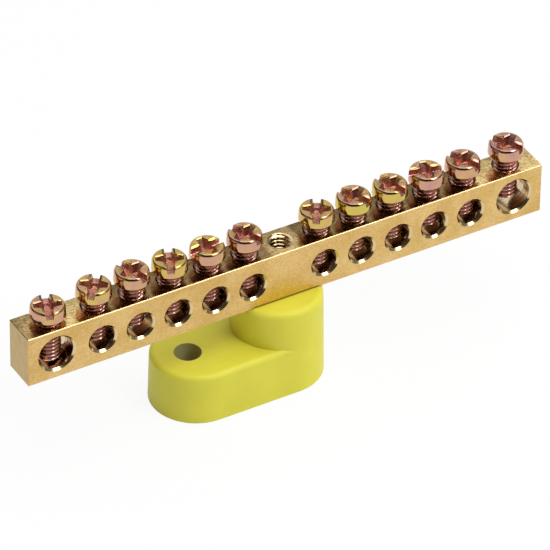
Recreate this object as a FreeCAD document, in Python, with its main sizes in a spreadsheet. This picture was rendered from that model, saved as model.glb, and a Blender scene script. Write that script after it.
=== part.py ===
# Grounding busbar: a drilled brass bar with clamping screws, on a moulded insulator.
# Millimetres. +X runs along the bar, +Z is up, and the origin lies under the bar's middle
# on the surface that the insulator stands on.
import FreeCAD, Part
import math
import os
import Sketcher

WIRE_BORES_PER_SIDE = 5
SAME_LEVEL = 1e-6
REMOVING_FEATURES = ("Pocket", "Groove", "LinearPattern", "Chamfer", "Fillet")

# Driving dimensions: name, value in millimetres or degrees, what it measures
DIMENSIONS = (
    ("bar_depth", 6.0, "bar section, front to back"),
    ("bar_height", 9.0, "bar section, bottom to top"),
    ("bar_edge", 0.1, "chamfer on the bar's edges"),
    ("first_bore", 6.45, "bar's middle to the nearest wire bore"),
    ("screw_gap", 0.89, "room between neighbouring screw heads"),
    ("end_gap", 8.0, "last wire bore to the end bore"),
    ("end_margin", 5.05, "end bore to the bar's end"),
    ("wire_bore", 4.4, "wire bore diameter"),
    ("wire_drop", 0.2, "wire bore axis below the bar's half height"),
    ("end_bore", 5.9, "end bore diameter"),
    ("end_rise", 0.05, "end bore axis above the bar's half height"),
    ("bore_mouth", 0.35, "chamfer at the mouths of the wire and end bores"),
    ("thread", 4.0, "outer diameter of the screws' thread"),
    ("thread_room", 0.03, "radial room round a screw in its hole"),
    ("tap_mouth", 0.2, "chamfer at the mouth of a terminal screw's hole"),
    ("screw_length", 8.0, "terminal screw below its head"),
    ("screw_tip", 0.6, "chamfer at a screw's tip"),
    ("head_base", 5.76, "terminal screw head diameter at its underside"),
    ("head_taper", 0.12, "narrowing of the head's radius towards its top"),
    ("head_height", 2.05, "terminal screw head height"),
    ("head_round", 0.45, "rounding of the head's top edge"),
    ("slot_mouth", 1.4, "width of a head's slot at its mouth"),
    ("slot_floor", 1.1, "width of a head's slot at its floor"),
    ("slot_depth", 1.1, "depth of a head's slot"),
    ("recess_span", 4.1, "cross recess from tip to tip at its mouth"),
    ("recess_floor", 2.7, "cross recess from tip to tip at its floor"),
    ("recess_width", 1.05, "width of a cross recess wing"),
    ("recess_depth", 1.5, "depth of a cross recess"),
    ("cone_mouth", 2.9, "diameter of a cross recess's middle at its mouth"),
    ("cone_floor", 1.2, "diameter of a cross recess's middle at its floor"),
    ("base_height", 15.5, "insulator from its underside to the bar"),
    ("base_width", 15.14, "insulator front to back at its underside"),
    ("foot_reach", 14.5, "post axis to the axis of the foot's round end"),
    ("foot_height", 8.8, "height of the insulator's foot"),
    ("foot_round", 0.9, "rounding of the foot's top edge"),
    ("post_round", 1.0, "rounding of the post's top edge"),
    ("draft", 1.2, "moulding draft of the insulator's sides, in degrees"),
    ("mount_hole", 4.4, "mounting hole diameter"),
    ("mount_beyond", 1.5, "mounting hole beyond the axis of the foot's round end"),
    ("seat_shift", 0.45, "post axis to the left of the bar's middle"),
    ("fixing_head", 7.0, "fixing screw head diameter"),
    ("fixing_head_height", 2.5, "fixing screw head height"),
    ("fixing_head_round", 1.0, "rounding of the fixing screw head"),
    ("fixing_room", 0.1, "radial room round the fixing screw in the post"),
    ("fixing_grip", 4.5, "length of the fixing screw in the bar"),
    ("counterbore_room", 0.55, "radial room round the fixing screw's head"),
    ("counterbore_depth", 6.0, "depth of the recess for the fixing screw's head"),
    ("lift_01", 0.15, "terminal screw 1 above the lowest that it can go"),
    ("lift_02", 0.17, "terminal screw 2, the same"),
    ("lift_03", 0.52, "terminal screw 3, the same"),
    ("lift_04", 0.22, "terminal screw 4, the same"),
    ("lift_05", 0.22, "terminal screw 5, the same"),
    ("lift_06", 0.27, "terminal screw 6, the same"),
    ("lift_07", 0.17, "terminal screw 7, the same"),
    ("lift_08", 0.37, "terminal screw 8, the same"),
    ("lift_09", 0.27, "terminal screw 9, the same"),
    ("lift_10", 0.42, "terminal screw 10, the same"),
    ("lift_11", 0.17, "terminal screw 11, the same"),
    ("lift_12", 1.40, "terminal screw 12, the same"),
)

# Slot direction of each terminal screw from +X, in degrees, left to right
SLOT_TURNS = (70, 52, 107, 66, 6, 114, 59, 116, 107, 166, 114, 118)

# Sizes that follow from the driving dimensions
PITCH = "(size.head_base + size.screw_gap)"
LAST_BORE = f"(size.first_bore + {WIRE_BORES_PER_SIDE - 1} * {PITCH})"
END_BORE = f"({LAST_BORE} + size.end_gap)"
HALF_BAR = f"({END_BORE} + size.end_margin)"
HALF_DEPTH = "(size.bar_depth / 2)"
WIRE_BORE_RADIUS = "(size.wire_bore / 2)"
END_BORE_RADIUS = "(size.end_bore / 2)"
WIRE_LEVEL = "(size.bar_height / 2 - size.wire_drop)"
END_LEVEL = "(size.bar_height / 2 + size.end_rise)"
THREAD_RADIUS = "(size.thread / 2)"
TIP_RADIUS = f"({THREAD_RADIUS} - size.screw_tip)"
TAP_RADIUS = f"({THREAD_RADIUS} + size.thread_room)"
HEAD_RADIUS = "(size.head_base / 2)"
HEAD_TOP_RADIUS = f"({HEAD_RADIUS} - size.head_taper)"
POST_CLEARANCE_RADIUS = f"({THREAD_RADIUS} + size.seat_shift + size.fixing_room)"
COUNTERBORE_RADIUS = "(size.fixing_head / 2 + size.seat_shift + size.counterbore_room)"
FIXING_SHANK = "(size.base_height - size.counterbore_depth)"
BAR_TOP = "(size.base_height + size.bar_height)"

doc = FreeCAD.newDocument("busbar")
sheet = doc.addObject("Spreadsheet::Sheet", "size")


def fill_sheet():
    for row, (alias, value, note) in enumerate(DIMENSIONS, start=1):
        sheet.set(f"A{row}", note)
        sheet.set(f"B{row}", str(value))
        sheet.setAlias(f"B{row}", alias)
    doc.recompute()


def measure(expression):
    return float(sheet.evalExpression(str(expression)))


def new_body(label):
    body = doc.addObject("PartDesign::Body", label)
    body.Label = label
    return body


def origin_feature(body, role):
    return next(item for item in body.Origin.OriginFeatures if item.Role == role)


def new_sketch(body, name, plane, across="0", out="0"):
    # The sketch's own origin is moved by two expressions: across its plane and out of it
    sketch = body.newObject("Sketcher::SketchObject", name)
    sketch.AttachmentSupport = [(origin_feature(body, plane), "")]
    sketch.MapMode = "FlatFace"
    sketch.setExpression("AttachmentOffset.Base.x", across)
    sketch.setExpression("AttachmentOffset.Base.z", out)
    return sketch


def bind(sketch, constraint, expression):
    index = sketch.addConstraint(constraint)
    sketch.setExpression(f"Constraints[{index}]", expression)


def place_point(sketch, curve, point, x, y):
    # A point stays on an axis of the sketch where its coordinate is nothing
    for kind, axis_curve, expression in (("DistanceX", -2, x), ("DistanceY", -1, y)):
        distance = measure(expression)
        if distance > 0:
            bind(sketch, Sketcher.Constraint(kind, -1, 1, curve, point, distance), expression)
        elif distance < 0:
            bind(sketch, Sketcher.Constraint(kind, curve, point, -1, 1, -distance), f"-({expression})")
        else:
            sketch.addConstraint(Sketcher.Constraint("PointOnObject", curve, point, axis_curve))


def outline(sketch, corners):
    # A closed outline of straight sides through corners given as pairs of expressions
    points = [FreeCAD.Vector(measure(x), measure(y), 0) for x, y in corners]
    for number, start in enumerate(points):
        end = points[(number + 1) % len(points)]
        sketch.addGeometry(Part.LineSegment(start, end))
    for number, (x, y) in enumerate(corners):
        before = (number - 1) % len(corners)
        sketch.addConstraint(Sketcher.Constraint("Coincident", before, 2, number, 1))
        place_point(sketch, number, 1, x, y)


def circle(sketch, x, y, radius):
    centre = FreeCAD.Vector(measure(x), measure(y), 0)
    curve = sketch.addGeometry(Part.Circle(centre, FreeCAD.Vector(0, 0, 1), measure(radius)))
    place_point(sketch, curve, 3, x, y)
    bind(sketch, Sketcher.Constraint("Radius", curve, measure(radius)), radius)


def stadium(sketch, reach, radius):
    # Two equal round ends, one about the sketch's origin and one to its left, joined by tangent sides
    far, round_size = measure(reach), measure(radius)
    quarter = math.pi / 2
    upright = FreeCAD.Vector(0, 0, 1)
    near_circle = Part.Circle(FreeCAD.Vector(0, 0, 0), upright, round_size)
    far_circle = Part.Circle(FreeCAD.Vector(-far, 0, 0), upright, round_size)
    near_end = sketch.addGeometry(Part.ArcOfCircle(near_circle, -quarter, quarter))
    back = sketch.addGeometry(Part.LineSegment(FreeCAD.Vector(0, round_size, 0),
                                               FreeCAD.Vector(-far, round_size, 0)))
    far_end = sketch.addGeometry(Part.ArcOfCircle(far_circle, quarter, 3 * quarter))
    front = sketch.addGeometry(Part.LineSegment(FreeCAD.Vector(-far, -round_size, 0),
                                                FreeCAD.Vector(0, -round_size, 0)))
    for first, second in ((near_end, back), (back, far_end), (far_end, front), (front, near_end)):
        sketch.addConstraint(Sketcher.Constraint("Tangent", first, 2, second, 1))
    sketch.addConstraint(Sketcher.Constraint("Equal", near_end, far_end))
    place_point(sketch, near_end, 3, "0", "0")
    place_point(sketch, far_end, 3, f"-{reach}", "0")
    bind(sketch, Sketcher.Constraint("Radius", near_end, round_size), radius)


def pad(body, name, sketch, length, taper=None, both_sides=False):
    feature = body.newObject("PartDesign::Pad", name)
    feature.Profile = sketch
    feature.Midplane = both_sides
    feature.setExpression("Length", length)
    if taper:
        feature.setExpression("TaperAngle", taper)
    doc.recompute()
    return feature


def pocket(body, name, sketch, length):
    # A cut that reaches equally far to both sides of its sketch
    feature = body.newObject("PartDesign::Pocket", name)
    feature.Profile = sketch
    feature.Midplane = True
    feature.setExpression("Length", length)
    doc.recompute()
    return feature


def turn(body, name, kind, sketch):
    # A revolved solid or cut about the sketch's vertical axis
    feature = body.newObject(f"PartDesign::{kind}", name)
    feature.Profile = sketch
    feature.ReferenceAxis = (sketch, ["V_Axis"])
    feature.Angle = 360
    doc.recompute()
    return feature


def row_of(body, name, feature, leftwards):
    # Copies of a cut along the bar, one pitch apart
    pattern = body.newObject("PartDesign::LinearPattern", name)
    pattern.Originals = [feature]
    pattern.Direction = (origin_feature(body, "X_Axis"), [""])
    pattern.Reversed = leftwards
    pattern.Occurrences = WIRE_BORES_PER_SIDE
    pattern.setExpression("Length", f"{WIRE_BORES_PER_SIDE - 1} * {PITCH}")
    body.Tip = pattern
    doc.recompute()
    return pattern


def dress(body, name, kind, base, edge_test, size_property, expression):
    # A fillet or chamfer on the edges of the base feature that pass the test
    edges = [f"Edge{number}" for number, edge in enumerate(base.Shape.Edges, start=1) if edge_test(edge)]
    feature = body.newObject(f"PartDesign::{kind}", name)
    feature.Base = (base, edges)
    feature.setExpression(size_property, expression)
    doc.recompute()
    return feature


def lies_at(level):
    # True for an edge that lies flat at a height given by an expression
    height = measure(level)
    return lambda edge: all(abs(vertex.Z - height) < SAME_LEVEL for vertex in edge.Vertexes)


def cross_bore(body, name, x, level, radius):
    # A bore through the bar from front to back, with a chamfer at each mouth
    sketch = new_sketch(body, f"{name}_profile", "XY_Plane", across=x, out=level)
    mouth = f"({radius} + size.bore_mouth)"
    inner = f"({HALF_DEPTH} - size.bore_mouth)"
    outline(sketch, [("0", f"-{HALF_DEPTH}"), (mouth, f"-{HALF_DEPTH}"), (radius, f"-{inner}"),
                     (radius, inner), (mouth, HALF_DEPTH), ("0", HALF_DEPTH)])
    return turn(body, name, "Groove", sketch)


def tapped_hole(body, name, x, level):
    # A terminal screw's hole, from the bar's top down to the axis of the bore below it
    sketch = new_sketch(body, f"{name}_profile", "XZ_Plane", across=x)
    mouth = f"({TAP_RADIUS} + size.tap_mouth)"
    neck = "(size.bar_height - size.tap_mouth)"
    outline(sketch, [("0", level), (TAP_RADIUS, level), (TAP_RADIUS, neck), (mouth, "size.bar_height"),
                     ("0", "size.bar_height")])
    return turn(body, name, "Groove", sketch)


def make_bar():
    body = new_body("brass_bar")
    section = new_sketch(body, "bar_section", "XZ_Plane")
    outline(section, [(f"-{HALF_BAR}", "0"), (HALF_BAR, "0"), (HALF_BAR, "size.bar_height"),
                      (f"-{HALF_BAR}", "size.bar_height")])
    stock = pad(body, "bar_stock", section, "size.bar_depth", both_sides=True)
    dress(body, "bar_edges", "Chamfer", stock, lambda edge: True, "Size", "size.bar_edge")
    for side, sign in (("right", ""), ("left", "-")):
        first = f"{sign}size.first_bore"
        bore = cross_bore(body, f"{side}_wire_bore", first, WIRE_LEVEL, WIRE_BORE_RADIUS)
        row_of(body, f"{side}_wire_bores", bore, side == "left")
        hole = tapped_hole(body, f"{side}_tapped_hole", first, WIRE_LEVEL)
        row_of(body, f"{side}_tapped_holes", hole, side == "left")
        cross_bore(body, f"{side}_end_bore", f"{sign}{END_BORE}", END_LEVEL, END_BORE_RADIUS)
        tapped_hole(body, f"{side}_end_tapped_hole", f"{sign}{END_BORE}", END_LEVEL)
    middle = new_sketch(body, "middle_hole_profile", "XZ_Plane")
    outline(middle, [("0", "0"), (TAP_RADIUS, "0"), (TAP_RADIUS, "size.bar_height"),
                     ("0", "size.bar_height")])
    turn(body, "middle_hole", "Groove", middle)
    body.setExpression("Placement.Base.z", "size.base_height")
    return body


def lowest_stand(level, radius):
    # Head underside above the bar when a screw is run home: its thread or its tip meets the bore's
    # wall, or its head meets the bar
    thread_stop = f"{level} - sqrt(max(0; {radius}^2 - {THREAD_RADIUS}^2)) - size.screw_tip"
    tip_stop = f"{level} - sqrt(max(0; {radius}^2 - {TIP_RADIUS}^2))"
    return f"max(0; max({thread_stop}; {tip_stop}) + size.screw_length - size.bar_height)"


def leaning_cut(body, name, plane, mouth, floor, mouth_level, floor_level, length):
    # A cut of one width at its mouth and a smaller one at its floor
    sketch = new_sketch(body, f"{name}_profile", plane)
    outline(sketch, [(f"-{floor} / 2", floor_level), (f"{floor} / 2", floor_level),
                     (f"{mouth} / 2", mouth_level), (f"-{mouth} / 2", mouth_level)])
    return pocket(body, name, sketch, length)


def cross_recess(body, tag, mouth_level, floor_level):
    # Two pairs of opposite wings that lean in towards the floor, and a cone in their middle
    for pair, plane in (("wings_along", "XZ_Plane"), ("wings_across", "YZ_Plane")):
        leaning_cut(body, f"{tag}_{pair}", plane, "size.recess_span", "size.recess_floor", mouth_level,
                    floor_level, "size.recess_width")
    cone = new_sketch(body, f"{tag}_cone_profile", "XZ_Plane")
    outline(cone, [("0", floor_level), ("size.cone_floor / 2", floor_level),
                   ("size.cone_mouth / 2", mouth_level), ("0", mouth_level)])
    return turn(body, f"{tag}_cone", "Groove", cone)


def make_terminal_screw(number, x, stand, slot_turn):
    # The screw's own origin is on its axis at the underside of its head
    body = new_body(f"terminal_screw_{number:02d}")
    tag = f"screw_{number:02d}"
    profile = new_sketch(body, f"{tag}_profile", "XZ_Plane")
    shoulder = "(-size.screw_length + size.screw_tip)"
    outline(profile, [("0", "-size.screw_length"), (TIP_RADIUS, "-size.screw_length"),
                      (THREAD_RADIUS, shoulder), (THREAD_RADIUS, "0"), (HEAD_RADIUS, "0"),
                      (HEAD_TOP_RADIUS, "size.head_height"), ("0", "size.head_height")])
    blank = turn(body, f"{tag}_blank", "Revolution", profile)
    dress(body, f"{tag}_rim", "Fillet", blank, lies_at("size.head_height"), "Radius", "size.head_round")
    leaning_cut(body, f"{tag}_slot", "YZ_Plane", "size.slot_mouth", "size.slot_floor", "size.head_height",
                "(size.head_height - size.slot_depth)", "size.head_base")
    cross_recess(body, tag, "size.head_height", "(size.head_height - size.recess_depth)")
    body.Placement = FreeCAD.Placement(FreeCAD.Vector(), FreeCAD.Rotation(FreeCAD.Vector(0, 0, 1), slot_turn))
    body.setExpression("Placement.Base.x", x)
    body.setExpression("Placement.Base.z", f"{BAR_TOP} + {stand} + size.lift_{number:02d}")
    return body


def make_terminal_screws():
    side = [f"(size.first_bore + {step} * {PITCH})" for step in range(WIRE_BORES_PER_SIDE)] + [END_BORE]
    places = [f"-{x}" for x in reversed(side)] + side
    wire_stand = lowest_stand(WIRE_LEVEL, WIRE_BORE_RADIUS)
    end_stand = lowest_stand(END_LEVEL, END_BORE_RADIUS)
    screws = []
    for number, (x, slot_turn) in enumerate(zip(places, SLOT_TURNS), start=1):
        at_end = number in (1, len(places))
        screws.append(make_terminal_screw(number, x, end_stand if at_end else wire_stand, slot_turn))
    return screws


def make_insulator():
    # The insulator's own origin is on the post's axis at its underside
    body = new_body("insulator_base")
    half_width = "(size.base_width / 2)"
    foot_outline = new_sketch(body, "foot_outline", "XY_Plane")
    stadium(foot_outline, "size.foot_reach", half_width)
    foot = pad(body, "foot", foot_outline, "size.foot_height", taper="-size.draft")
    dress(body, "foot_edge", "Fillet", foot, lies_at("size.foot_height"), "Radius", "size.foot_round")
    post_outline = new_sketch(body, "post_outline", "XY_Plane")
    circle(post_outline, "0", "0", half_width)
    post = pad(body, "post", post_outline, "size.base_height", taper="-size.draft")
    dress(body, "post_edge", "Fillet", post, lies_at("size.base_height"), "Radius", "size.post_round")
    fixing = new_sketch(body, "fixing_hole_profile", "XZ_Plane")
    outline(fixing, [("0", "0"), (COUNTERBORE_RADIUS, "0"), (COUNTERBORE_RADIUS, "size.counterbore_depth"),
                     (POST_CLEARANCE_RADIUS, "size.counterbore_depth"),
                     (POST_CLEARANCE_RADIUS, "size.base_height"), ("0", "size.base_height")])
    turn(body, "fixing_hole", "Groove", fixing)
    mounting = new_sketch(body, "mounting_hole_profile", "XZ_Plane",
                          across="-(size.foot_reach + size.mount_beyond)")
    outline(mounting, [("0", "0"), ("size.mount_hole / 2", "0"), ("size.mount_hole / 2", "size.foot_height"),
                       ("0", "size.foot_height")])
    turn(body, "mounting_hole", "Groove", mounting)
    body.setExpression("Placement.Base.x", "-size.seat_shift")
    return body


def make_fixing_screw():
    # The screw's own origin is on its axis where its head bears on the post
    body = new_body("fixing_screw")
    profile = new_sketch(body, "fixing_screw_profile", "XZ_Plane")
    end = f"({FIXING_SHANK} + size.fixing_grip)"
    outline(profile, [("0", "-size.fixing_head_height"), ("size.fixing_head / 2", "-size.fixing_head_height"),
                      ("size.fixing_head / 2", "0"), (THREAD_RADIUS, "0"),
                      (THREAD_RADIUS, f"({end} - size.screw_tip)"), (TIP_RADIUS, end), ("0", end)])
    blank = turn(body, "fixing_screw_blank", "Revolution", profile)
    dress(body, "fixing_screw_rim", "Fillet", blank, lies_at("-size.fixing_head_height"), "Radius",
          "size.fixing_head_round")
    cross_recess(body, "fixing_screw", "-size.fixing_head_height",
                 "(size.recess_depth - size.fixing_head_height)")
    body.setExpression("Placement.Base.z", "size.counterbore_depth")
    return body


def check_document(bodies):
    for item in doc.Objects:
        if "Invalid" in item.State or "Error" in item.State:
            raise RuntimeError(f"{item.Label} failed to build: {item.State}")
    for body in bodies:
        if body.Shape.isNull() or not body.Shape.isValid() or len(body.Shape.Solids) != 1:
            raise RuntimeError(f"{body.Label} is not one valid solid")
        for feature in body.Group:
            removes = feature.TypeId.split("::")[1] in REMOVING_FEATURES
            if removes and feature.Shape.Volume >= feature.BaseFeature.Shape.Volume:
                raise RuntimeError(f"{feature.Label} removed nothing from {body.Label}")


def write_parts(bodies):
    os.makedirs("parts", exist_ok=True)
    for body in bodies:
        body.Shape.exportStep(f"parts/{body.Label}.step")
        box = body.Shape.BoundBox
        print(f"{body.Label}: {body.Shape.Volume:.1f} mm3, x {box.XMin:.2f} to {box.XMax:.2f}, "
              f"y {box.YMin:.2f} to {box.YMax:.2f}, z {box.ZMin:.2f} to {box.ZMax:.2f}")


fill_sheet()
pieces = [make_bar(), *make_terminal_screws(), make_insulator(), make_fixing_screw()]
doc.recompute()
check_document(pieces)
write_parts(pieces)
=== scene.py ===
import bmesh
import bpy
import math
from mathutils import Matrix, Vector


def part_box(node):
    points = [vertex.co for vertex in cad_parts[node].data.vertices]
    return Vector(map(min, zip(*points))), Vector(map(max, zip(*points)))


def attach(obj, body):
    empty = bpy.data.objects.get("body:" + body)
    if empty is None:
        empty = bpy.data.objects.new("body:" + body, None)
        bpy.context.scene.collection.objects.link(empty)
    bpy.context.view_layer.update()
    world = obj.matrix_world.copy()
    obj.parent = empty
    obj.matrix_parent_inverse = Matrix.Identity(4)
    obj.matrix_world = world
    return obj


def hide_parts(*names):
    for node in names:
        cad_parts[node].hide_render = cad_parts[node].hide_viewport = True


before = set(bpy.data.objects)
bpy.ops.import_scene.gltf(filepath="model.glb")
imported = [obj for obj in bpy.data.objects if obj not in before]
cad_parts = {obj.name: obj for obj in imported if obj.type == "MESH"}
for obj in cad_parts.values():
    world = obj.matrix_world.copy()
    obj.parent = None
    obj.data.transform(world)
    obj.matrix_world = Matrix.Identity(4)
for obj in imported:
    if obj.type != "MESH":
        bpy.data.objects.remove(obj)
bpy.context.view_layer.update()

MM = 0.001
PER_MM = (1000.0, 1000.0, 1000.0)
TURN = 2 * math.pi

# Terminal screws, sizes in millimetres from the underside of the head
SCREW_COUNT = 12
SLOT_TURNS = (70, 52, 107, 66, 6, 114, 59, 116, 107, 166, 114, 118)
THREAD_RADIUS = 2.0
THREAD_PITCH = 0.7
THREAD_DEPTH = 0.42
CREST_SHARE = 0.125
ROOT_SHARE = 0.25
STEPS_PER_PITCH = 14
SCREW_LENGTH = 8.0
TIP_CHAMFER = 0.6
NECK_LENGTH = 0.35
NECK_FLARE = 0.06
HEAD_RADIUS = 2.88
HEAD_TAPER = 0.12
HEAD_HEIGHT = 2.05
UNDER_ROUND = 0.2
UNDER_STEPS = 5
SLOT_MOUTH = 1.4
SLOT_FLOOR = 1.1
SLOT_DEPTH = 1.1
SLOT_ROUND = 0.2
SLOT_STEPS = 3
SLOT_WORN = 2.1
SLOT_WEAR_DEPTH = 0.16
SLOT_OVERLAP = 0.02
SLOT_SPAN = 2 * HEAD_RADIUS + 1.0
RECESS_DEPTH = 1.5
RECESS_WEAR_DEPTH = 0.12

# Cross recess: span of two wings, width at their tips and width in the middle, in millimetres
RECESS_MOUTH = (4.2, 0.9, 2.2)
RECESS_FLOOR = (2.7, 0.6, 1.2)
RECESS_WORN = (4.5, 1.2, 2.5)
BOWL_RADIUS = 1.25
BOWL_CURVE = 0.6
BOWL_STEPS = (0.01, 0.06, 0.15, 0.28, 0.44, 0.62, 0.81, 1.0, 1.2)
BOWL_SEGMENTS = 40
TICK_SPAN = 4.4
TICK_WIDTH = 0.12
TICK_DEPTH = 0.08
EDGE_BREAK = 0.05
EDGE_BREAK_ABOVE = 0.3
SCREW_SEGMENTS = 96
JOIN_DISTANCE = 1e-6

# How far each cutter stands out above the head, in millimetres
SLOT_ABOVE = 1.0
WEAR_ABOVE = 0.3
WINGS_ABOVE = 0.5
TICK_ABOVE = 0.05

# Angles in degrees: edges sharper than these are broken, or stay sharp in the shading
BREAK_FROM = 30
SCREW_SHARP_FROM = 22
THREAD_SHARP_FROM = 32

# Rim of a head from its top to its wall: radius in millimetres and the slope at which each arc ends
RIM_ARCS = ((0.12, 46), (1.1, 66))
RIM_STEPS = 4

# Bar, sizes in millimetres
WIRE_BORE_RADIUS = 2.2
END_BORE_RADIUS = 2.95
BORE_MOUTH = 0.35
WIRE_BORE_LEVEL = 19.8
END_BORE_LEVEL = 20.05
MIDDLE_HOLE_RADIUS = 2.03
MIDDLE_CREST_RADIUS = 1.62
MIDDLE_GAP = 0.1

# Depth in millimetres to which a surface or an edge counts as itself
FACE_SKIN = 0.03
EDGE_SKIN = 0.11

# Painted shade on the bar above the insulator: half its length, the fade at its ends and its height, in
# millimetres
SEAT_HALF = 5.9
SEAT_FADE = 0.4
SEAT_SHADE_HEIGHT = 0.45

# Dark zones on the bar's top, in millimetres: where each starts to fade and where it ends. The zone beside
# the screws is painted shade and painted reflection of the screws.
BESIDE_SCREW = (3.2, 4.0)
CROWDED_PART = (33.0, 34.5)
MIDDLE_PART = (4.0, 9.0)
LEFT_END_PART = 8.0

# Patterns: scale per millimetre, in all directions or along X, Y and Z, then detail and roughness
GRAIN = ((0.12, 5.0, 5.0), 5.0, 0.65)
FINE = ((0.6, 14.0, 14.0), 3.0, 0.6)
FLECKS = ((2.2, 3.4, 3.4), 3.0, 0.7)
SAWN = ((1.0, 9.0, 0.5), 4.0, 0.6)
TURNED = ((0.4, 9.0, 0.4), 3.0, 0.5)
STAIN = (0.22, 4.0, 0.6)
SPOTS = (1.1, 5.0, 0.7)
PITS = (3.2, 3.0, 0.7)
CLOUD = (0.12, 3.0, 0.55)
SKIN = (4.0, 4.0, 0.6)
DRIFT = (0.45, 3.0, 0.6)
BLUSH = (0.9, 2.0, 0.5)
STREAKS = ((3.0, 3.0, 0.6), 3.0, 0.6)
SPECKS = (5.0, 3.0, 0.6)
DENTS = (0.5, 3.0, 0.5)
GRIT = (3.0, 3.0, 0.6)

# Marks in the middle hole: stretch along X, Y and Z, scale, detail and roughness
CUT_MARKS = ((1.0, 1.0, 6.0), 1.4, 4.0, 0.6)

# Shift of a pattern along X and Y from one screw to the next, in millimetres
DRIFT_SHIFT = (17.3, 5.1)
BLUSH_SHIFT = (7.9, 2.3)
MARK_SHIFT = (3.7, 9.2)

# Parts of a screw, in millimetres: where its top, shank and hollows fade, and the margins of the hollows
TOP_FADE = (0.30, 0.22)
SHANK_FADE = (0.02, 0.14)
SUNK_FADE = (0.5, 0.2)
RECESS_FADE = (1.2, 0.4)
CROSS_MARGIN = 0.05
CROSS_FLOOR_MARGIN = 0.1
RIM_MARGIN = 0.12

# Insulator, sizes in millimetres
MOUNT_HOLE_X = -16.45
MOUNT_HOLE_RADIUS = 2.2

# Colours, linear
BRASS_LIGHT = (0.78, 0.535, 0.212)
BRASS_DEEP = (0.66, 0.42, 0.13)
BRASS_TOP = (0.90, 0.655, 0.285)
BRASS_SAWN = (0.62, 0.46, 0.21)
BRASS_BORE = (0.82, 0.65, 0.42)
BRASS_STAIN = (0.31, 0.198, 0.088)
BRASS_SHADE = (0.20, 0.122, 0.047)
BRASS_CUT = (0.72, 0.55, 0.30)
PLASTIC = (0.76, 0.715, 0.057)
PLASTIC_DEEP = (0.71, 0.66, 0.050)
PLASTIC_SHADE = (0.42, 0.39, 0.22)
# Thread colours: lighter on the crests as painted highlight, darker in the roots as painted shade
SHANK_CREST = (0.62, 0.37, 0.33)
SHANK_ROOT = (0.20, 0.105, 0.095)
RECESS = (0.57, 0.345, 0.27)
RECESS_DEEP = (0.60, 0.25, 0.13)
RECESS_RED = (0.56, 0.23, 0.22)
RECESS_DARK = (0.20, 0.11, 0.12)
FLOOR = (0.88, 0.88, 0.88)

# Film on the screws: its colour by thickness, and the thickness on the side and the top of each head
FILM = (
    (0.00, (0.44, 0.265, 0.265)),
    (0.20, (0.58, 0.31, 0.245)),
    (0.45, (0.62, 0.375, 0.185)),
    (0.65, (0.645, 0.455, 0.135)),
    (0.85, (0.63, 0.50, 0.10)),
    (1.00, (0.58, 0.525, 0.105)),
)
FILM_ON_SIDES = (0.38, 0.50, 0.42, 0.65, 0.45, 0.35, 0.72, 0.82, 0.70, 0.30, 0.40, 0.25)
FILM_ON_TOPS = (0.38, 0.50, 0.45, 0.64, 0.62, 0.40, 0.55, 0.40, 0.42, 0.40, 0.35, 0.25)
FILM_ON_FIXING = 0.6
FIXING_NUMBER = 20

# Floor: half its side in metres, and the share of plain white in what is seen of it
FLOOR_SIZE = 3.0
BACKGROUND_SHARE = 0.9

# Light from the studio's parts
WINDOW = 0.6
BACK_LOW = 0.15
BACK_HIGH = 1.25
RIGHT = 0.22
LEFT = 0.3
DARK_SIDE = 0.05

# Where each part of the studio starts and is full, as a turn in radians or a part of a unit vector
WINDOW_LEFT = (0.12, 0.28)
WINDOW_RIGHT = (1.05, 0.85)
WINDOW_FOOT = (0.05, 0.2)
WINDOW_HEAD = (0.97, 0.92)
BACK_TOWARD = (0.5, 0.87)
BACK_EDGE = (-0.1, 0.6)
BACK_RISE = (0.35, 0.8)
RIGHT_EDGE = (0.3, 0.7)
LEFT_EDGE = (-0.70, -0.95)

# Camera, metres and degrees
CAMERA_TARGET = Vector((-0.00009, 0.00132, 0.01692))
CAMERA_DISTANCE = 0.9612
CAMERA_AZIMUTH = -30.591
CAMERA_ELEVATION = 37.687
CAMERA_ROLL = 0.911
FOCAL_PIXELS = 6151.0
IMAGE_PIXELS = 550.0
SENSOR = 36.0
CLIP_START = 0.05
CLIP_END = 10.0


def direction(azimuth, elevation):
    # A unit vector from the object; azimuth 0 is towards -Y and 90 towards +X
    across, up = math.radians(azimuth), math.radians(elevation)
    return Vector((math.sin(across) * math.cos(up), -math.cos(across) * math.cos(up), math.sin(up)))


def add_object(name, mesh):
    obj = bpy.data.objects.new(name, mesh)
    bpy.context.scene.collection.objects.link(obj)
    return obj


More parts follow.
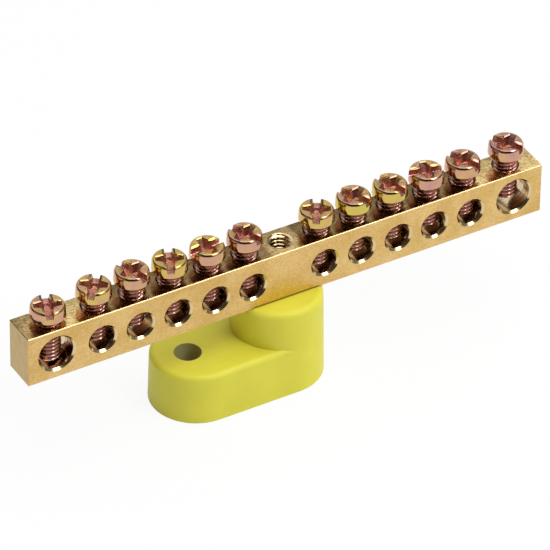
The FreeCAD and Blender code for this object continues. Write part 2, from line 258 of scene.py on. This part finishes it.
class Shader:
    # A node material, put together by short calls that hand sockets on

    def __init__(self, name):
        self.material = bpy.data.materials.new(name)
        self.material.use_nodes = True
        self.tree = self.material.node_tree
        self.surface = self.tree.nodes["Principled BSDF"]

    def node(self, kind, inputs=(), **settings):
        made = self.tree.nodes.new(kind)
        for name, value in settings.items():
            setattr(made, name, value)
        for key, value in dict(inputs).items():
            self.feed(made.inputs[key], value)
        return made

    def feed(self, socket, value):
        if isinstance(value, bpy.types.NodeSocket):
            self.tree.links.new(value, socket)
        else:
            socket.default_value = value

    def set(self, name, value):
        if isinstance(value, tuple) and len(value) == 3:
            value = (*value, 1.0)
        self.feed(self.surface.inputs[name], value)

    def place(self):
        # Object coordinates in millimetres
        source = self.node("ShaderNodeTexCoord").outputs["Object"]
        return self.stretch(source, PER_MM)

    def stretch(self, vector, scale, shift=(0, 0, 0)):
        made = self.node("ShaderNodeMapping", {"Vector": vector, "Scale": scale, "Location": shift})
        return made.outputs["Vector"]

    def noise(self, vector, scale, detail=2.0, roughness=0.5):
        inputs = {"Vector": vector, "Scale": scale, "Detail": detail, "Roughness": roughness}
        return self.node("ShaderNodeTexNoise", inputs).outputs["Fac"]

    def pattern(self, vector, scale, detail, roughness, shift=(0, 0, 0)):
        # Noise at one scale, or at a scale for each axis, read from a place that may be shifted
        if isinstance(scale, tuple):
            return self.noise(self.stretch(vector, scale, shift), 1.0, detail, roughness)
        if any(shift):
            vector = self.stretch(vector, (1, 1, 1), shift)
        return self.noise(vector, scale, detail, roughness)

    def math(self, operation, first, second=0.0):
        made = self.node("ShaderNodeMath", operation=operation)
        self.feed(made.inputs[0], first)
        self.feed(made.inputs[1], second)
        return made.outputs[0]

    def distance(self, first, second):
        squares = [self.math("MULTIPLY", value, value) for value in (first, second)]
        return self.math("SQRT", self.math("ADD", *squares))

    def remap(self, value, low, high, new_low=0.0, new_high=1.0, smooth=False):
        kind = "SMOOTHSTEP" if smooth else "LINEAR"
        inputs = {"Value": value, "From Min": low, "From Max": high, "To Min": new_low, "To Max": new_high}
        return self.node("ShaderNodeMapRange", inputs, interpolation_type=kind).outputs["Result"]

    def mix(self, share, first, second, blend="MIX"):
        made = self.node("ShaderNodeMix", data_type="RGBA", blend_type=blend)
        for socket, value in ((0, share), (6, first), (7, second)):
            if isinstance(value, tuple):
                value = (*value, 1.0)
            self.feed(made.inputs[socket], value)
        return made.outputs[2]

    def blend(self, share, first, second):
        made = self.node("ShaderNodeMix", data_type="FLOAT")
        for socket, value in ((0, share), (2, first), (3, second)):
            self.feed(made.inputs[socket], value)
        return made.outputs[0]

    def ramp(self, value, stops):
        made = self.node("ShaderNodeValToRGB", {"Fac": value})
        elements = made.color_ramp.elements
        while len(elements) < len(stops):
            elements.new(0.5)
        for element, (position, colour) in zip(elements, stops):
            element.position = position
            element.color = (*colour, 1.0)
        return made.outputs["Color"]

    def axes(self, vector):
        return self.node("ShaderNodeSeparateXYZ", {"Vector": vector}).outputs

    def bump(self, height, strength, depth_mm, after=None):
        inputs = {"Height": height, "Strength": strength, "Distance": depth_mm * MM}
        if after:
            inputs["Normal"] = after
        return self.node("ShaderNodeBump", inputs).outputs["Normal"]


def screw_axis(number):
    low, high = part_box(f"terminal_screw_{number:02d}")
    return (low.x + high.x) / 2


def screw_offsets(shader, along):
    # Distances along the bar from the nearest inner screw and from the end screw of the same half
    half = SCREW_COUNT // 2
    first = screw_axis(half + 1) / MM
    pitch = (screw_axis(SCREW_COUNT - 1) / MM - first) / (half - 2)
    step = shader.math("ROUND", shader.math("DIVIDE", shader.math("SUBTRACT", along, first), pitch))
    step = shader.math("MINIMUM", shader.math("MAXIMUM", step, 0.0), float(half - 2))
    nearest = shader.math("ADD", shader.math("MULTIPLY", step, pitch), first)
    return [shader.math("SUBTRACT", along, centre) for centre in (nearest, screw_axis(SCREW_COUNT) / MM)]


def bore_share(shader, offsets, height, margin):
    # 1 inside the cross bores and a margin round them, 0 further out
    bores = ((WIRE_BORE_LEVEL, WIRE_BORE_RADIUS), (END_BORE_LEVEL, END_BORE_RADIUS))
    shares = []
    for across, (level, radius) in zip(offsets, bores):
        away = shader.distance(across, shader.math("SUBTRACT", height, level))
        shares.append(shader.math("LESS_THAN", away, radius + margin))
    return shader.math("MAXIMUM", *shares)


def painted_seat_shade(shader, axes):
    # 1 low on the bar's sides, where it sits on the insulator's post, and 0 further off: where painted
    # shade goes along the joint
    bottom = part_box("brass_bar")[0].z / MM
    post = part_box("insulator_base")[1] / MM
    from_post = shader.math("ABSOLUTE", shader.math("SUBTRACT", axes["X"], post.x - post.y))
    along = shader.remap(from_post, SEAT_HALF - SEAT_FADE, SEAT_HALF + SEAT_FADE, 1.0, 0.0)
    up = shader.remap(axes["Z"], bottom + SEAT_SHADE_HEIGHT / 3, bottom + SEAT_SHADE_HEIGHT, 1.0, 0.0)
    return shader.math("MULTIPLY", along, up)


def front_tone(shader, stain, grain, pits, flecks):
    # Drawn sides: two shades of brass in drifts and along the grain, with faint pits and flecks
    tone = shader.mix(shader.remap(stain, 0.35, 0.65), BRASS_DEEP, BRASS_LIGHT)
    tone = shader.mix(shader.remap(grain, 0.30, 0.70, 0.0, 0.35), tone, BRASS_LIGHT)
    tone = shader.mix(shader.remap(pits, 0.60, 0.75, 0.0, 0.30), tone, BRASS_STAIN)
    return shader.mix(1.0, tone, shader.remap(flecks, 0.3, 0.7, 0.84, 1.16), "MULTIPLY")


def top_tone(shader, axes, from_screw, end, spots, pits, flecks):
    # Top: stains in spots, and darker beside the inner screws, round the middle and at the left end; beside
    # the inner screws this is painted shade and painted reflection of the screws
    along = shader.math("ABSOLUTE", axes["X"])
    beside_screw = shader.remap(from_screw, *BESIDE_SCREW, 0.8, 0.0)
    # Painted shade and painted reflection of the screws on the top beside the inner screws
    screw_shade = shader.math("MULTIPLY", beside_screw, shader.remap(along, *CROWDED_PART, 1.0, 0.0))
    near_middle = shader.remap(along, *MIDDLE_PART, 0.5, 0.0)
    near_end = shader.remap(axes["X"], -end, LEFT_END_PART - end, 0.8, 0.0)
    darker_share = shader.math("MAXIMUM", screw_shade, shader.math("MAXIMUM", near_middle, near_end))
    darker_share = shader.math("MULTIPLY", darker_share, shader.remap(spots, 0.3, 0.7, 0.6, 1.4))
    tone = shader.mix(shader.remap(spots, 0.48, 0.66, 0.0, 0.6), BRASS_TOP, BRASS_STAIN)
    tone = shader.mix(darker_share, tone, BRASS_STAIN)
    # Painted shade and painted reflection of the screws, darkest beside the inner screws
    tone = shader.mix(shader.math("MULTIPLY", screw_shade, 0.8), tone, BRASS_SHADE)
    tone = shader.mix(shader.remap(pits, 0.54, 0.66, 0.0, 0.6), tone, BRASS_STAIN)
    return shader.mix(1.0, tone, shader.remap(flecks, 0.3, 0.7, 0.55, 1.45), "MULTIPLY")


def brass_material():
    # Drawn brass: grain along the bar, stains and painted shade on its top, painted shade low where it sits
    # on the insulator, sawn ends and turned bores
    shader = Shader("drawn_brass")
    place = shader.place()
    axes = shader.axes(place)
    end, depth, top = (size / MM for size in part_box("brass_bar")[1])
    on_top = shader.math("GREATER_THAN", axes["Z"], top - FACE_SKIN)
    on_end = shader.math("GREATER_THAN", shader.math("ABSOLUTE", axes["X"]), end - FACE_SKIN)
    near_top = shader.math("GREATER_THAN", axes["Z"], top - EDGE_SKIN)
    near_side = shader.math("GREATER_THAN", shader.math("ABSOLUTE", axes["Y"]), depth - EDGE_SKIN)
    on_edge = shader.math("MULTIPLY", near_side, near_top)
    offsets = screw_offsets(shader, shader.math("ABSOLUTE", axes["X"]))
    from_screw = shader.math("MINIMUM", *[shader.math("ABSOLUTE", offset) for offset in offsets])
    in_bore = bore_share(shader, offsets, axes["Z"], FACE_SKIN)
    in_mouth = bore_share(shader, offsets, axes["Z"], BORE_MOUTH - FACE_SKIN)
    seat_shade = painted_seat_shade(shader, axes)
    grain, fine, flecks, sawn, turned, stain, spots, pits = [
        shader.pattern(place, *pattern)
        for pattern in (GRAIN, FINE, FLECKS, SAWN, TURNED, STAIN, SPOTS, PITS)]

    tone = front_tone(shader, stain, grain, pits, flecks)
    tone = shader.mix(on_top, tone, top_tone(shader, axes, from_screw, end, spots, pits, flecks))
    cut_end = shader.mix(shader.remap(sawn, 0.35, 0.7, 0.0, 0.5), BRASS_SAWN, BRASS_STAIN)
    tone = shader.mix(on_end, tone, cut_end)
    tone = shader.mix(shader.math("MAXIMUM", in_mouth, on_edge), tone, BRASS_CUT)
    # Painted shade along the bar's lower edge where it sits on the insulator's post
    tone = shader.mix(seat_shade, tone, BRASS_SHADE)
    drilled = shader.mix(shader.remap(turned, 0.40, 0.60, 0.0, 0.7), BRASS_BORE, BRASS_STAIN)
    shader.set("Base Color", shader.mix(in_bore, tone, drilled))
    shader.set("Metallic", 1.0)

    rough = shader.remap(fine, 0.25, 0.75, 0.30, 0.46)
    rough = shader.blend(on_top, rough, shader.remap(spots, 0.3, 0.7, 0.08, 0.20))
    rough = shader.blend(on_end, rough, shader.remap(sawn, 0.3, 0.7, 0.38, 0.55))
    rough = shader.blend(in_mouth, rough, 0.17)
    rough = shader.blend(in_bore, rough, shader.remap(turned, 0.3, 0.7, 0.08, 0.20))
    rough = shader.blend(seat_shade, rough, 0.60)
    shader.set("Roughness", shader.blend(on_edge, rough, 0.40))

    height = shader.math("ADD", shader.math("MULTIPLY", grain, 0.6), shader.math("MULTIPLY", pits, 0.4))
    crown = shader.math("MULTIPLY", shader.math("MULTIPLY", axes["Y"], axes["Y"]), -0.25)
    waves = shader.math("ADD", spots, crown)
    rolled = shader.bump(shader.math("MULTIPLY", on_top, waves), 1.0, 0.035)
    shader.set("Normal", shader.bump(height, 0.25, 0.03, rolled))
    return shader.material


def thread_material():
    # Cut brass inside the middle hole, with fine marks along the thread
    shader = Shader("cut_brass")
    place = shader.place()
    stretch, *marking = CUT_MARKS
    marks = shader.noise(shader.stretch(place, stretch), *marking)
    shader.set("Base Color", shader.mix(shader.remap(marks, 0.35, 0.65), BRASS_SAWN, BRASS_BORE))
    shader.set("Metallic", 1.0)
    shader.set("Roughness", shader.remap(marks, 0.3, 0.7, 0.08, 0.2))
    return shader.material


def hole_share(shader, place):
    # 1 on the wall of the mounting hole, 0 elsewhere
    axes = shader.axes(place)
    away = shader.distance(shader.math("SUBTRACT", axes["X"], MOUNT_HOLE_X), axes["Y"])
    return shader.math("LESS_THAN", away, MOUNT_HOLE_RADIUS + FACE_SKIN)


def plastic_material():
    # Moulded insulator: even yellow-green with a fine satin skin, and painted shade on the wall of the
    # mounting hole
    shader = Shader("moulded_insulator")
    place = shader.place()
    cloud = shader.pattern(place, *CLOUD)
    skin = shader.pattern(place, *SKIN)
    tone = shader.mix(shader.remap(cloud, 0.35, 0.65), PLASTIC_DEEP, PLASTIC)
    # Painted shade on the wall of the mounting hole
    hole_shade = shader.mix(0.8, tone, PLASTIC_SHADE)
    tone = shader.mix(hole_share(shader, place), tone, hole_shade)
    shader.set("Base Color", tone)
    shader.set("Roughness", shader.remap(skin, 0.3, 0.7, 0.42, 0.56))
    shader.set("Specular IOR Level", 0.4)
    shader.set("Normal", shader.bump(skin, 0.12, 0.03))
    return shader.material


def own_shift(number, steps):
    # Gives each screw its own part of a pattern
    return number * steps[0], number * steps[1], 0


def hollow_share(shader, axes, out):
    # How far a point lies down in the slot or the cross recess of a head, 0 elsewhere
    in_cross = shader.math("LESS_THAN", out, RECESS_MOUTH[0] / 2 + CROSS_MARGIN)
    over_cross = shader.math("GREATER_THAN", axes["Z"], HEAD_HEIGHT - RECESS_DEPTH - CROSS_FLOOR_MARGIN)
    in_cross = shader.math("MULTIPLY", in_cross, over_cross)
    in_slot = shader.math("LESS_THAN", shader.math("ABSOLUTE", axes["Y"]), SLOT_WORN / 2)
    over_floor = shader.math("GREATER_THAN", axes["Z"], HEAD_HEIGHT - SLOT_DEPTH - FACE_SKIN)
    off_rim = shader.math("LESS_THAN", out, HEAD_RADIUS - HEAD_TAPER - RIM_MARGIN)
    in_slot = shader.math("MULTIPLY", in_slot, shader.math("MULTIPLY", over_floor, off_rim))
    low, high = (HEAD_HEIGHT - down for down in SUNK_FADE)
    sunk = shader.remap(axes["Z"], low, high, 0.9, 0.0)
    return shader.math("MULTIPLY", sunk, shader.math("MAXIMUM", in_cross, in_slot))


def hollow_tone(shader, place, axes, number, streaks):
    # Colour in the slot and the recess: warmer at the bottom, with blushes and dark streaks
    low, high = (HEAD_HEIGHT - down for down in RECESS_FADE)
    tone = shader.mix(shader.remap(axes["Z"], low, high), RECESS_DEEP, RECESS)
    blush = shader.pattern(place, *BLUSH, own_shift(number, BLUSH_SHIFT))
    tone = shader.mix(shader.remap(blush, 0.42, 0.60), tone, RECESS_RED)
    return shader.mix(shader.remap(streaks, 0.46, 0.62, 0.0, 0.8), tone, RECESS_DARK)


def plating_material(name, side_film, top_film, number):
    # Yellow passivated zinc: the colour of a thin film that drifts over the surface; the thread is lighter
    # on its crests and darker in its roots, as painted highlight and painted shade
    shader = Shader(name)
    place = shader.place()
    axes = shader.axes(place)
    out = shader.distance(axes["X"], axes["Y"])
    low, high = (HEAD_HEIGHT - down for down in TOP_FADE)
    on_top = shader.remap(axes["Z"], low, high, smooth=True)
    shank = shader.remap(axes["Z"], *SHANK_FADE, 1.0, 0.0)
    sunk = hollow_share(shader, axes, out)
    drift = shader.pattern(place, *DRIFT, own_shift(number, DRIFT_SHIFT))
    streaks, dents, grit = [shader.pattern(place, *pattern, own_shift(number, MARK_SHIFT))
                            for pattern in (STREAKS, DENTS, GRIT)]

    film = shader.blend(on_top, side_film, top_film)
    thickness = shader.math("ADD", shader.remap(drift, 0.25, 0.75, -0.30, 0.30), film)
    # Painted highlight on the thread's crests and painted shade in its roots
    root_to_crest = shader.remap(out, THREAD_RADIUS - THREAD_DEPTH, THREAD_RADIUS)
    thread = shader.mix(root_to_crest, SHANK_ROOT, SHANK_CREST)
    tone = shader.mix(shader.math("MULTIPLY", shank, 0.9), shader.ramp(thickness, FILM), thread)
    shader.set("Base Color", shader.mix(sunk, tone, hollow_tone(shader, place, axes, number, streaks)))
    shader.set("Metallic", 1.0)

    rough = shader.remap(shader.pattern(place, *SPECKS), 0.3, 0.7, 0.07, 0.15)
    rough = shader.blend(shank, rough, 0.16)
    shader.set("Roughness", shader.blend(sunk, rough, 0.42))

    torn = shader.math("MULTIPLY", shader.math("SUBTRACT", streaks, 0.5), sunk)
    dented = shader.bump(torn, 1.0, 0.09, shader.bump(dents, 1.0, 0.05))
    shader.set("Normal", shader.bump(grit, 1.0, 0.008, dented))
    return shader.material


def thread_radius(angle, level, crest, root):
    # Radius of a right-handed thread at an angle and a level
    phase = (level / THREAD_PITCH - angle / TURN) % 1.0
    off_crest = min(phase, 1.0 - phase)
    slope = (off_crest - CREST_SHARE / 2) / (0.5 - ROOT_SHARE / 2 - CREST_SHARE / 2)
    return crest + (root - crest) * min(1.0, max(0.0, slope))


def lathe(rings, segments, closed=True):
    # A surface of rings; each ring gives its radius and its level for an angle
    mesh = bmesh.new()
    rows = []
    for ring in rings:
        row = []
        for step in range(segments):
            angle = TURN * step / segments
            radius, level = ring(angle)
            point = Vector((radius * math.cos(angle), radius * math.sin(angle), level))
            row.append(mesh.verts.new(point * MM))
        rows.append(row)
    for lower, upper in zip(rows, rows[1:]):
        for step in range(segments):
            after = (step + 1) % segments
            mesh.faces.new((lower[step], lower[after], upper[after], upper[step]))
    if closed:
        mesh.faces.new(list(reversed(rows[0])))
        mesh.faces.new(rows[-1])
    return mesh


def quarter_turn(steps):
    return [math.radians(90 * step / steps) for step in range(steps + 1)]


def plain_ring(radius, level):
    return lambda angle: (radius, level)


def screw_thread_ring(level):
    cone = THREAD_RADIUS - TIP_CHAMFER + level + SCREW_LENGTH
    root = THREAD_RADIUS - THREAD_DEPTH
    return lambda angle: (min(cone, thread_radius(angle, level, THREAD_RADIUS, root)), level)


def rim_points():
    # Points of a head's rim from its wall up, as distances in from the wall and down from the top
    points = [(0.0, 0.0)]
    start = 0.0
    for radius, end in RIM_ARCS:
        across, down = points[-1]
        for step in range(1, RIM_STEPS + 1):
            slope = math.radians(start + (end - start) * step / RIM_STEPS)
            points.append((across + radius * (math.sin(slope) - math.sin(math.radians(start))),
                           down + radius * (math.cos(math.radians(start)) - math.cos(slope))))
        start = end
    width = points[-1][0]
    return [(width - across, down) for across, down in reversed(points)]


def screw_blank():
    # The whole screw before its slot and recess are cut
    step = THREAD_PITCH / STEPS_PER_PITCH
    count = int((SCREW_LENGTH - NECK_LENGTH) / step)
    rings = [screw_thread_ring(-SCREW_LENGTH + step * number) for number in range(count + 1)]
    neck = THREAD_RADIUS - THREAD_DEPTH / 2
    rings.append(plain_ring(neck, -NECK_LENGTH + step))
    rings.append(plain_ring(neck, -NECK_FLARE))
    rings.append(plain_ring(neck + NECK_FLARE, 0.0))
    for angle in quarter_turn(UNDER_STEPS):
        radius = HEAD_RADIUS - UNDER_ROUND * (1 - math.sin(angle))
        rings.append(plain_ring(radius, UNDER_ROUND * (1 - math.cos(angle))))
    for inward, down in rim_points():
        rings.append(plain_ring(HEAD_RADIUS - HEAD_TAPER - inward, HEAD_HEIGHT - down))
    return lathe(rings, SCREW_SEGMENTS)


def prism(section, length):
    # A bar along X of the section given as (across, up) pairs, in millimetres
    mesh = bmesh.new()
    ends = [[mesh.verts.new(Vector((x, y, z)) * MM) for y, z in section] for x in (-length / 2, length / 2)]
    for number in range(len(section)):
        after = (number + 1) % len(section)
        mesh.faces.new((ends[0][number], ends[0][after], ends[1][after], ends[1][number]))
    mesh.faces.new(list(reversed(ends[0])))
    mesh.faces.new(ends[1])
    bmesh.ops.recalc_face_normals(mesh, faces=mesh.faces)
    return mesh


def slot_cutter():
    # Slot across the whole head, with leaning walls and a rounded floor
    floor = HEAD_HEIGHT - SLOT_DEPTH
    half = SLOT_FLOOR / 2
    left = [(-half + SLOT_ROUND * (1 - math.cos(angle)), floor + SLOT_ROUND * (1 - math.sin(angle)))
            for angle in quarter_turn(SLOT_STEPS)]
    right = [(-across, up) for across, up in reversed(left)]
    lean = (SLOT_MOUTH - SLOT_FLOOR) / 2 / SLOT_DEPTH
    wide = SLOT_MOUTH / 2 + lean * SLOT_ABOVE
    above = HEAD_HEIGHT + SLOT_ABOVE
    return prism([(-wide, above), *left, *right, (wide, above)], SLOT_SPAN)


def wear_cutter():
    # The slot's worn upper edges, which slope down to it from both sides
    half_floor = SLOT_MOUTH / 2 - SLOT_OVERLAP
    lean = (SLOT_WORN / 2 - half_floor) / SLOT_WEAR_DEPTH
    half_top = SLOT_WORN / 2 + lean * WEAR_ABOVE
    floor = HEAD_HEIGHT - SLOT_WEAR_DEPTH
    above = HEAD_HEIGHT + WEAR_ABOVE
    section = [(-half_floor, floor), (half_floor, floor), (half_top, above), (-half_top, above)]
    return prism(section, SLOT_SPAN)


def between_sizes(low, high, share):
    return [start + (end - start) * share for start, end in zip(low, high)]


def wings_cutter(floor, mouth, depth):
    # Two opposite wings of the cross recess, narrower at their tips and leaning in towards the floor
    mesh = bmesh.new()
    rows = []
    for share in (0.0, 1.0 + WINGS_ABOVE / depth):
        span, tip, middle = (size / 2 for size in between_sizes(floor, mouth, share))
        plan = [(-span, -tip), (0, -middle), (span, -tip), (span, tip), (0, middle), (-span, tip)]
        level = HEAD_HEIGHT - depth * (1.0 - share)
        rows.append([mesh.verts.new(Vector((x, y, level)) * MM) for x, y in plan])
    lower, upper = rows
    for step in range(len(lower)):
        after = (step + 1) % len(lower)
        mesh.faces.new((lower[step], lower[after], upper[after], upper[step]))
    mesh.faces.new(list(reversed(lower)))
    mesh.faces.new(upper)
    bmesh.ops.triangulate(mesh, faces=mesh.faces)
    return mesh


def deep_wings():
    return wings_cutter(RECESS_FLOOR, RECESS_MOUTH, RECESS_DEPTH)


def worn_wings():
    start = between_sizes(RECESS_FLOOR, RECESS_MOUTH, 1.0 - RECESS_WEAR_DEPTH / RECESS_DEPTH)
    return wings_cutter(start, RECESS_WORN, RECESS_WEAR_DEPTH)


def tick_cutter():
    # A fine groove across the head, between the wings of the recess
    half = TICK_WIDTH / 2
    above = HEAD_HEIGHT + TICK_ABOVE
    return prism([(0, HEAD_HEIGHT - TICK_DEPTH), (half, above), (-half, above)], TICK_SPAN)


def bowl_cutter():
    # The dished middle of the cross recess
    floor = HEAD_HEIGHT - RECESS_DEPTH
    rings = [plain_ring(BOWL_RADIUS * share ** BOWL_CURVE, floor + RECESS_DEPTH * share)
             for share in BOWL_STEPS]
    return lathe(rings, BOWL_SEGMENTS)


def cut(blank, cutters):
    # Takes each cutter, turned about Z by its angle, away from the blank
    for cutter, angle in cutters:
        turn = Matrix.Rotation(math.radians(angle), 3, "Z")
        bmesh.ops.rotate(cutter, cent=(0, 0, 0), matrix=turn, verts=cutter.verts)
        tool_mesh = bpy.data.meshes.new("cutter")
        cutter.to_mesh(tool_mesh)
        tool = add_object("cutter", tool_mesh)
        change = blank.modifiers.new("cut", "BOOLEAN")
        change.object = tool
        change.solver = "EXACT"
        made = bpy.data.meshes.new_from_object(blank.evaluated_get(bpy.context.evaluated_depsgraph_get()))
        blank.modifiers.clear()
        blank.data = made
        bpy.data.objects.remove(tool)


def screw_mesh():
    # One screw with its head cut and its edges broken
    blank_mesh = bpy.data.meshes.new("screw_blank")
    screw_blank().to_mesh(blank_mesh)
    blank = add_object("screw_blank", blank_mesh)
    cut(blank, [(slot_cutter(), 0), (wear_cutter(), 0), (worn_wings(), 90), (bowl_cutter(), 0),
                (deep_wings(), 90), (deep_wings(), 0), (tick_cutter(), 45), (tick_cutter(), 135)])
    made = bmesh.new()
    made.from_mesh(blank.data)
    bmesh.ops.remove_doubles(made, verts=made.verts, dist=JOIN_DISTANCE)
    sharp = [edge for edge in made.edges
             if len(edge.link_faces) == 2 and edge.calc_face_angle() > math.radians(BREAK_FROM)
             and min(vert.co.z for vert in edge.verts) > EDGE_BREAK_ABOVE * MM]
    bmesh.ops.bevel(made, geom=sharp, offset=EDGE_BREAK * MM, segments=2, profile=0.5, affect="EDGES",
                    clamp_overlap=True)
    mesh = bpy.data.meshes.new("terminal_screw")
    made.to_mesh(mesh)
    bpy.data.objects.remove(blank)
    mesh.shade_smooth()
    mesh.set_sharp_from_angle(angle=math.radians(SCREW_SHARP_FROM))
    return mesh


def make_screws():
    shared = screw_mesh()
    for number in range(1, SCREW_COUNT + 1):
        node = f"terminal_screw_{number:02d}"
        low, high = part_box(node)
        screw = add_object(f"threaded_screw_{number:02d}", shared.copy())
        screw.location = ((low.x + high.x) / 2, (low.y + high.y) / 2, high.z - HEAD_HEIGHT * MM)
        screw.rotation_euler = (0, 0, math.radians(SLOT_TURNS[number - 1]))
        films = FILM_ON_SIDES[number - 1], FILM_ON_TOPS[number - 1]
        screw.data.materials.append(plating_material(f"passivated_zinc_{number:02d}", *films, number))
        screw.modifiers.new("flat_faces", "WEIGHTED_NORMAL").keep_sharp = True
        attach(screw, f"screw_{number:02d}")
        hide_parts(node)


def make_middle_thread():
    # The thread of the bar's middle hole, above the end of the fixing screw
    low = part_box("fixing_screw")[1].z / MM + MIDDLE_GAP
    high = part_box("brass_bar")[1].z / MM
    step = THREAD_PITCH / STEPS_PER_PITCH
    count = int((high - low) / step)

    def ring(level):
        return lambda angle: (thread_radius(angle, level, MIDDLE_CREST_RADIUS, THREAD_RADIUS), level)

    thread = [ring(low + step * number) for number in range(count + 1)]
    rings = [plain_ring(MIDDLE_HOLE_RADIUS, low), *thread, plain_ring(MIDDLE_HOLE_RADIUS, high)]
    made = lathe(rings, SCREW_SEGMENTS, closed=False)
    bmesh.ops.reverse_faces(made, faces=made.faces)
    mesh = bpy.data.meshes.new("middle_thread")
    made.to_mesh(mesh)
    mesh.shade_smooth()
    mesh.set_sharp_from_angle(angle=math.radians(THREAD_SHARP_FROM))
    piece = add_object("middle_thread", mesh)
    mesh.materials.append(thread_material())
    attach(piece, "busbar")


def dress(node, material):
    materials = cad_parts[node].data.materials
    materials.clear()
    materials.append(material)


def make_floor():
    # A pale floor that keeps the object's shadow and is seen as near white
    mesh = bmesh.new()
    bmesh.ops.create_grid(mesh, x_segments=1, y_segments=1, size=FLOOR_SIZE)
    data = bpy.data.meshes.new("floor")
    mesh.to_mesh(data)
    floor = add_object("floor", data)
    shader = Shader("pale_floor")
    shader.set("Base Color", FLOOR)
    shader.set("Roughness", 0.9)
    shader.set("Specular IOR Level", 0.1)
    path = shader.node("ShaderNodeLightPath").outputs
    seen = shader.math("MAXIMUM", path["Is Camera Ray"], path["Is Glossy Ray"])
    seen = shader.math("MAXIMUM", seen, path["Is Transmission Ray"])
    white = shader.node("ShaderNodeEmission", {"Color": (1, 1, 1, 1), "Strength": 1.0}).outputs[0]
    mixed = shader.node("ShaderNodeMixShader", {"Fac": shader.math("MULTIPLY", seen, BACKGROUND_SHARE)})
    shader.feed(mixed.inputs[1], shader.surface.outputs[0])
    shader.feed(mixed.inputs[2], white)
    shader.feed(shader.tree.nodes["Material Output"].inputs["Surface"], mixed.outputs[0])
    data.materials.append(shader.material)


def softbox(name, azimuth, elevation, distance, width, height, radiance):
    light = bpy.data.lights.new(name, "AREA")
    light.shape = "RECTANGLE"
    light.size, light.size_y = width, height
    light.energy = radiance * math.pi * width * height
    lamp = add_object(name, light)
    toward = direction(azimuth, elevation)
    lamp.location = toward * distance
    lamp.rotation_euler = toward.to_track_quat("Z", "Y").to_euler()


def make_world():
    # A studio with a window at the front right, pale at the back, dim on both sides and dark elsewhere
    world = bpy.data.worlds.new("studio")
    world.use_nodes = True
    bpy.context.scene.world = world
    tree = world.node_tree
    nodes, links = tree.nodes, tree.links
    axes = nodes.new("ShaderNodeSeparateXYZ")
    links.new(nodes.new("ShaderNodeTexCoord").outputs["Generated"], axes.inputs[0])

    def join(operation, *values):
        made = nodes.new("ShaderNodeMath")
        made.operation = operation
        for socket, value in zip(made.inputs, values):
            if isinstance(value, float):
                socket.default_value = value
            else:
                links.new(value, socket)
        return made.outputs[0]

    def fall(value, start, end, at_start, at_end):
        made = nodes.new("ShaderNodeMapRange")
        made.interpolation_type = "SMOOTHSTEP"
        links.new(value, made.inputs["Value"])
        levels = {"From Min": start, "From Max": end, "To Min": at_start, "To Max": at_end}
        for key, level in levels.items():
            made.inputs[key].default_value = level
        return made.outputs["Result"]

    x, y, z = axes.outputs
    turn = join("ARCTAN2", x, join("MULTIPLY", y, -1.0))
    across = join("MULTIPLY", fall(turn, *WINDOW_LEFT, 0.0, 1.0), fall(turn, *WINDOW_RIGHT, 0.0, WINDOW))
    upright = join("MULTIPLY", fall(z, *WINDOW_FOOT, 0.0, 1.0), fall(z, *WINDOW_HEAD, 0.0, 1.0))
    window = join("MULTIPLY", across, upright)
    behind = join("ADD", join("MULTIPLY", y, BACK_TOWARD[1]), join("MULTIPLY", x, BACK_TOWARD[0]))
    back = join("MULTIPLY", fall(behind, *BACK_EDGE, 0.0, 1.0), fall(z, *BACK_RISE, BACK_LOW, BACK_HIGH))
    right = fall(x, *RIGHT_EDGE, 0.0, RIGHT)
    left = fall(x, *LEFT_EDGE, 0.0, LEFT)
    sides = join("MAXIMUM", join("MAXIMUM", left, right), DARK_SIDE)
    light = join("MAXIMUM", join("MAXIMUM", window, back), sides)
    background = nodes["Background"]
    links.new(light, background.inputs["Strength"])
    background.inputs["Color"].default_value = (1, 1, 1, 1)


def make_camera():
    lens = bpy.data.cameras.new("camera")
    lens.sensor_width = SENSOR
    lens.lens = FOCAL_PIXELS / IMAGE_PIXELS * SENSOR
    lens.clip_start, lens.clip_end = CLIP_START, CLIP_END
    camera = add_object("camera", lens)
    toward = direction(CAMERA_AZIMUTH, CAMERA_ELEVATION)
    camera.location = CAMERA_TARGET + toward * CAMERA_DISTANCE
    aim = toward.to_track_quat("Z", "Y").to_matrix()
    camera.rotation_euler = (aim @ Matrix.Rotation(math.radians(CAMERA_ROLL), 3, "Z")).to_euler()
    bpy.context.scene.camera = camera


dress("brass_bar", brass_material())
dress("insulator_base", plastic_material())
fixing_films = FILM_ON_FIXING, FILM_ON_FIXING
dress("fixing_screw", plating_material("passivated_zinc_fixing", *fixing_films, FIXING_NUMBER))
make_screws()
make_middle_thread()
make_floor()
make_world()
softbox("overhead", azimuth=50, elevation=75, distance=0.9, width=0.92, height=0.92, radiance=2.5)
softbox("key", azimuth=30, elevation=44, distance=0.9, width=0.40, height=0.30, radiance=5.6)
make_camera()
bpy.context.scene.view_settings.view_transform = "Standard"
